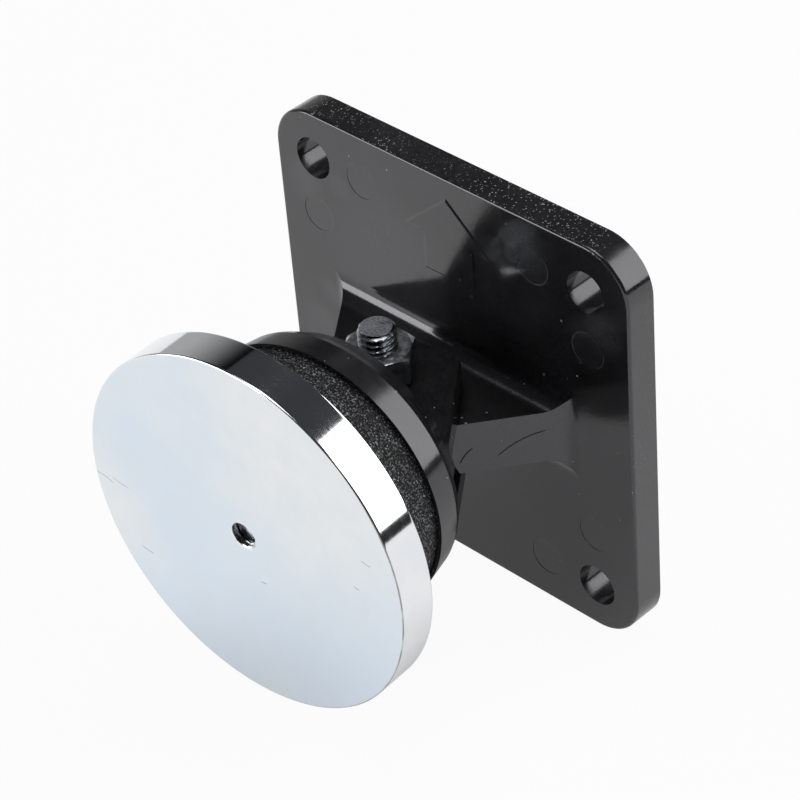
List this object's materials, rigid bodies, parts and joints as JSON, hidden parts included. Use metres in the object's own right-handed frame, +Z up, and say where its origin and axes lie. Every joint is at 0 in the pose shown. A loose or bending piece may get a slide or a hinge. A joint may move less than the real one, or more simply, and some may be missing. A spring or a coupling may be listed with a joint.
{
  "type": "electromagnetic door holder keeper",
  "caption": "Square wall plate with a tongue, a swivel head clamped on it by an upright bolt, and a round steel keeper disc on a foam ring that a door holding magnet pulls on.",
  "frame": {"origin": "middle of the four wall screw holes, on the back of the wall plate", "axes": "+Z up as the moulded arrow points, +Y into the wall, -Y out to the magnet, X across"},
  "size_m": [0.071, 0.0547, 0.071],
  "materials": {
    "moulding": "smooth black moulding, semi gloss",
    "plated_fixing": "bright zinc plated steel",
    "foam": "open black foam rubber",
    "plated_disc": "zinc plated, pale blue satin"
  },
  "bodies": {
    "base": {"wall_plate": "moulding"},
    "head": {"swivel_head": "moulding", "pivot_bolt": "plated_fixing", "pivot_nut": "plated_fixing", "foam_ring": "foam"},
    "disc": {"keeper_disc": "plated_disc", "disc_screw": "plated_fixing", "disc_washer": "plated_fixing"}
  },
  "joints": [
    {"name": "head_swivel", "type": "hinge", "parent": "base", "child": "head", "pos_m": [0, -0.02065, 0], "axis": [0, 0, 1], "range_deg": [-58.2, 45.8]},
    {"name": "disc_tilt", "type": "hinge", "parent": "head", "child": "disc", "pos_m": [0.0014, -0.03644, 0], "axis": [0.9971, 0.0767, 0], "range_deg": [-3, 3], "stiffness_Nm_per_rad": 5, "springref_deg": -0.21, "deforming": ["foam_ring"]}
  ]
}
